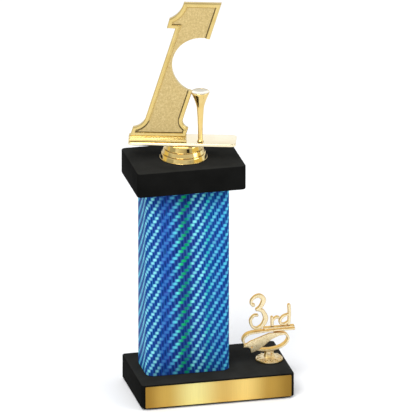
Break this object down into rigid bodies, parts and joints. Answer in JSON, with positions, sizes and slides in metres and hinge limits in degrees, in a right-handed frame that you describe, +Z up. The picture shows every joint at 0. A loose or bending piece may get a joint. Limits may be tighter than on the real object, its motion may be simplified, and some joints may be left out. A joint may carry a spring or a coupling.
{
  "type": "column trophy",
  "caption": "Column trophy with black base and lid clamped on a film-covered column, a turning gold hole-in-one figure with a golf ball seat, and a turning third-place trim.",
  "frame": {"origin": "middle of the base's underside, on the felt's lower face", "axes": "+Z up along the column, +X along the base's length towards the trim, -Y towards the nameplate side"},
  "size_m": [0.1366, 0.0751, 0.338],
  "materials": {
    "black_slab": "matte black lacquer",
    "column_film": "holographic blue twill film under a satin gloss",
    "gold": "bright metallised gold",
    "satin_gold": "pale satin gold",
    "nameplate_gold": "brushed and lacquered",
    "insert_brass": "turned",
    "zinc_steel": "zinc plated",
    "plug_wood": "raw",
    "adhesive": "foam adhesive",
    "felt": "pressed felt"
  },
  "bodies": {
    "stand": {"base_slab": "black_slab", "base_felt": "felt", "nameplate": "nameplate_gold", "nameplate_tape": "adhesive", "column_sleeve": "column_film", "column_plug_lower": "plug_wood", "column_plug_upper": "plug_wood", "lid_slab": "black_slab", "tie_rod": "zinc_steel", "rod_nut": "zinc_steel", "rod_washer": "zinc_steel", "rod_lock_washer": "zinc_steel", "trim_screw": "zinc_steel", "trim_washer": "zinc_steel"},
    "figure": {"figure_riser": "gold", "figure_insert_nut": "insert_brass", "figure_plate": "gold", "number_one": "gold", "ball_tee": "gold"},
    "trim": {"trim_foot": "satin_gold", "trim_ribbon": "satin_gold", "trim_numeral_3": "satin_gold", "trim_letter_r": "satin_gold", "trim_letter_d": "satin_gold"}
  },
  "joints": [
    {"name": "figure_turn", "type": "hinge", "parent": "stand", "child": "figure", "pos_m": [-0.0203, 0, 0.2031], "axis": [0, 0, 1], "continuous": true},
    {"name": "trim_turn", "type": "hinge", "parent": "stand", "child": "trim", "pos_m": [0.0502, -0.0038, 0.0218], "axis": [0, 0, 1], "continuous": true}
  ]
}
